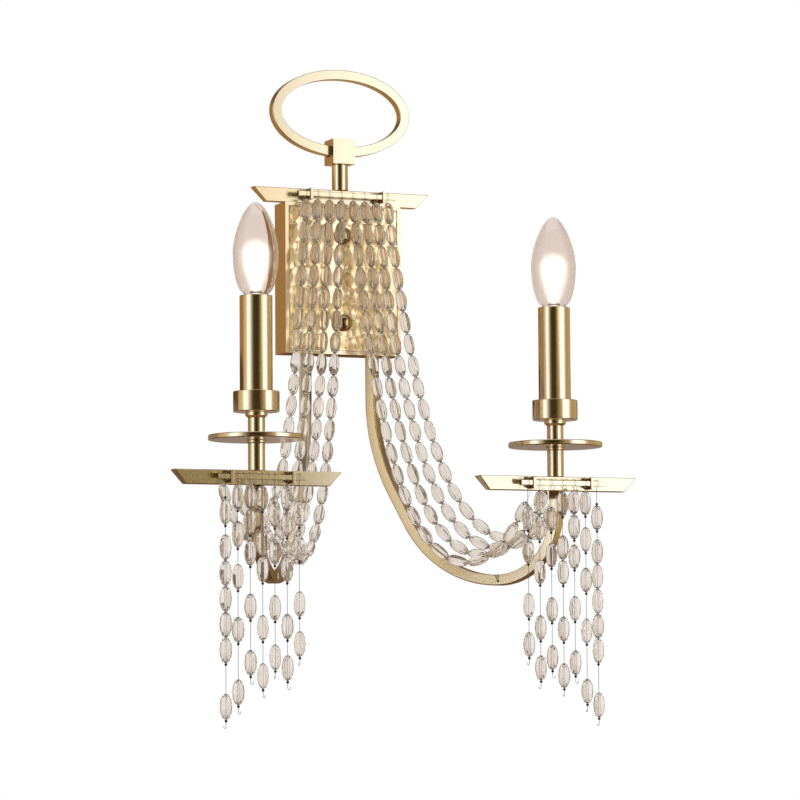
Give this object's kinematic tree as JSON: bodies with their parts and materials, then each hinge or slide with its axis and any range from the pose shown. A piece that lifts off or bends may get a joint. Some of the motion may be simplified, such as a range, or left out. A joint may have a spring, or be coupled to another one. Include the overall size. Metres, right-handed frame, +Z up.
{
  "type": "candle wall light",
  "caption": "Wall light with candle bulbs on curved square arms, a hammered backplate under an oval ring, and draped and hanging strands of glass beads.",
  "frame": {"origin": "centre of the backplate's back edge, on the wall", "axes": "+X to the right seen from the room, +Y into the wall, +Z up; the front faces -Y"},
  "size_m": [0.385, 0.1866, 0.5277],
  "materials": {
    "gold": "satin champagne gold metallic paint",
    "hammered_gold": "hammered champagne gold",
    "steel": "zinc plated",
    "nickel": "nickel plated",
    "ivory_plastic": "moulded ivory plastic",
    "bulb_glass": "clear glass",
    "bulb_core": "warm white, lit",
    "bead_glass": "clear fluted glass on dark wire"
  },
  "bodies": {
    "frame": {"wall_bracket": "steel", "fixing_studs": "steel", "cap_nuts": "gold", "backplate": "gold", "hammered_panel": "hammered_gold", "terminal_block": "ivory_plastic", "top_bar": "gold", "top_rail": "gold", "top_stem": "gold", "ring_block": "gold", "ring": "gold", "tie_rod": "steel", "left_arm": "gold", "left_candle_bar": "gold", "left_front_rail": "gold", "left_rear_rail": "gold", "left_stems": "gold", "left_drip_disc": "gold", "left_cup": "gold", "left_nipple": "steel", "left_sleeve": "gold", "left_lampholder": "ivory_plastic", "right_arm": "gold", "right_candle_bar": "gold", "right_front_rail": "gold", "right_rear_rail": "gold", "right_stems": "gold", "right_drip_disc": "gold", "right_cup": "gold", "right_nipple": "steel", "right_sleeve": "gold", "right_lampholder": "ivory_plastic"},
    "left_bulb": {"left_bulb_cap": "nickel", "left_bulb_glass": "bulb_glass", "left_bulb_core": "bulb_core"},
    "right_bulb": {"right_bulb_cap": "nickel", "right_bulb_glass": "bulb_glass", "right_bulb_core": "bulb_core"},
    "left_hanging_strand_1": {"left_hanging_strand_1": "bead_glass"},
    "left_hanging_strand_2": {"left_hanging_strand_2": "bead_glass"},
    "left_hanging_strand_3": {"left_hanging_strand_3": "bead_glass"},
    "left_hanging_strand_4": {"left_hanging_strand_4": "bead_glass"},
    "left_hanging_strand_5": {"left_hanging_strand_5": "bead_glass"},
    "left_hanging_strand_6": {"left_hanging_strand_6": "bead_glass"},
    "left_hanging_strand_7": {"left_hanging_strand_7": "bead_glass"},
    "right_hanging_strand_1": {"right_hanging_strand_1": "bead_glass"},
    "right_hanging_strand_2": {"right_hanging_strand_2": "bead_glass"},
    "right_hanging_strand_3": {"right_hanging_strand_3": "bead_glass"},
    "right_hanging_strand_4": {"right_hanging_strand_4": "bead_glass"},
    "right_hanging_strand_5": {"right_hanging_strand_5": "bead_glass"},
    "right_hanging_strand_6": {"right_hanging_strand_6": "bead_glass"},
    "right_hanging_strand_7": {"right_hanging_strand_7": "bead_glass"},
    "left_draped_strand_1": {"left_draped_strand_1": "bead_glass"},
    "left_draped_strand_2": {"left_draped_strand_2": "bead_glass"},
    "left_draped_strand_3": {"left_draped_strand_3": "bead_glass"},
    "left_draped_strand_4": {"left_draped_strand_4": "bead_glass"},
    "right_draped_strand_1": {"right_draped_strand_1": "bead_glass"},
    "right_draped_strand_2": {"right_draped_strand_2": "bead_glass"},
    "right_draped_strand_3": {"right_draped_strand_3": "bead_glass"},
    "right_draped_strand_4": {"right_draped_strand_4": "bead_glass"}
  },
  "joints": [
    {"name": "left_bulb_turn", "type": "hinge", "parent": "frame", "child": "left_bulb", "pos_m": [-0.125, -0.15, -0.014], "axis": [0, 0, 1], "continuous": true},
    {"name": "right_bulb_turn", "type": "hinge", "parent": "frame", "child": "right_bulb", "pos_m": [0.125, -0.15, -0.014], "axis": [0, 0, 1], "continuous": true},
    {"name": "left_hanging_swing_1", "type": "hinge", "parent": "frame", "child": "left_hanging_strand_1", "pos_m": [-0.0953, -0.1615, -0.1695], "axis": [-1, 0, 0], "range_deg": [-5, 30]},
    {"name": "left_hanging_swing_2", "type": "hinge", "parent": "frame", "child": "left_hanging_strand_2", "pos_m": [-0.1052, -0.1615, -0.1695], "axis": [-1, 0, 0], "range_deg": [-5, 30]},
    {"name": "left_hanging_swing_3", "type": "hinge", "parent": "frame", "child": "left_hanging_strand_3", "pos_m": [-0.1151, -0.1615, -0.1695], "axis": [-1, 0, 0], "range_deg": [-4, 30]},
    {"name": "left_hanging_swing_4", "type": "hinge", "parent": "frame", "child": "left_hanging_strand_4", "pos_m": [-0.125, -0.1615, -0.1695], "axis": [-1, 0, 0], "range_deg": [-1, 30]},
    {"name": "left_hanging_swing_5", "type": "hinge", "parent": "frame", "child": "left_hanging_strand_5", "pos_m": [-0.1349, -0.1615, -0.1695], "axis": [-1, 0, 0], "range_deg": [-4, 30]},
    {"name": "left_hanging_swing_6", "type": "hinge", "parent": "frame", "child": "left_hanging_strand_6", "pos_m": [-0.1448, -0.1615, -0.1695], "axis": [-1, 0, 0], "range_deg": [-5, 30]},
    {"name": "left_hanging_swing_7", "type": "hinge", "parent": "frame", "child": "left_hanging_strand_7", "pos_m": [-0.1547, -0.1615, -0.1695], "axis": [-1, 0, 0], "range_deg": [-5, 30]},
    {"name": "right_hanging_swing_1", "type": "hinge", "parent": "frame", "child": "right_hanging_strand_1", "pos_m": [0.0953, -0.1615, -0.1695], "axis": [-1, 0, 0], "range_deg": [-5, 30]},
    {"name": "right_hanging_swing_2", "type": "hinge", "parent": "frame", "child": "right_hanging_strand_2", "pos_m": [0.1052, -0.1615, -0.1695], "axis": [-1, 0, 0], "range_deg": [-5, 30]},
    {"name": "right_hanging_swing_3", "type": "hinge", "parent": "frame", "child": "right_hanging_strand_3", "pos_m": [0.1151, -0.1615, -0.1695], "axis": [-1, 0, 0], "range_deg": [-4, 30]},
    {"name": "right_hanging_swing_4", "type": "hinge", "parent": "frame", "child": "right_hanging_strand_4", "pos_m": [0.125, -0.1615, -0.1695], "axis": [-1, 0, 0], "range_deg": [-1, 30]},
    {"name": "right_hanging_swing_5", "type": "hinge", "parent": "frame", "child": "right_hanging_strand_5", "pos_m": [0.1349, -0.1615, -0.1695], "axis": [-1, 0, 0], "range_deg": [-4, 30]},
    {"name": "right_hanging_swing_6", "type": "hinge", "parent": "frame", "child": "right_hanging_strand_6", "pos_m": [0.1448, -0.1615, -0.1695], "axis": [-1, 0, 0], "range_deg": [-5, 30]},
    {"name": "right_hanging_swing_7", "type": "hinge", "parent": "frame", "child": "right_hanging_strand_7", "pos_m": [0.1547, -0.1615, -0.1695], "axis": [-1, 0, 0], "range_deg": [-5, 30]},
    {"name": "left_draped_swing_1", "type": "hinge", "parent": "frame", "child": "left_draped_strand_1", "pos_m": [-0.005, -0.03075, 0.0665], "axis": [0.3727, 0.3854, 0.8441], "range_deg": [0, 6]},
    {"name": "left_draped_swing_2", "type": "hinge", "parent": "frame", "child": "left_draped_strand_2", "pos_m": [-0.0151, -0.03075, 0.0665], "axis": [0.3822, 0.3838, 0.8406], "range_deg": [0, 6]},
    {"name": "left_draped_swing_3", "type": "hinge", "parent": "frame", "child": "left_draped_strand_3", "pos_m": [-0.0252, -0.03075, 0.0665], "axis": [0.3916, 0.3822, 0.837], "range_deg": [0, 6]},
    {"name": "left_draped_swing_4", "type": "hinge", "parent": "frame", "child": "left_draped_strand_4", "pos_m": [-0.0353, -0.03075, 0.0665], "axis": [0.4008, 0.3805, 0.8334], "range_deg": [0, 6]},
    {"name": "right_draped_swing_1", "type": "hinge", "parent": "frame", "child": "right_draped_strand_1", "pos_m": [0.005, -0.03075, 0.0665], "axis": [0.3727, -0.3854, -0.8441], "range_deg": [0, 6]},
    {"name": "right_draped_swing_2", "type": "hinge", "parent": "frame", "child": "right_draped_strand_2", "pos_m": [0.0151, -0.03075, 0.0665], "axis": [0.3822, -0.3838, -0.8406], "range_deg": [0, 6]},
    {"name": "right_draped_swing_3", "type": "hinge", "parent": "frame", "child": "right_draped_strand_3", "pos_m": [0.0252, -0.03075, 0.0665], "axis": [0.3916, -0.3822, -0.837], "range_deg": [0, 6]},
    {"name": "right_draped_swing_4", "type": "hinge", "parent": "frame", "child": "right_draped_strand_4", "pos_m": [0.0353, -0.03075, 0.0665], "axis": [0.4008, -0.3805, -0.8334], "range_deg": [0, 6]}
  ],
  "couplings": [
    {"joint": "left_draped_swing_2", "follows": "left_draped_swing_1", "ratio": 1},
    {"joint": "left_draped_swing_3", "follows": "left_draped_swing_1", "ratio": 1},
    {"joint": "left_draped_swing_4", "follows": "left_draped_swing_1", "ratio": 1},
    {"joint": "right_draped_swing_2", "follows": "right_draped_swing_1", "ratio": 1},
    {"joint": "right_draped_swing_3", "follows": "right_draped_swing_1", "ratio": 1},
    {"joint": "right_draped_swing_4", "follows": "right_draped_swing_1", "ratio": 1}
  ]
}
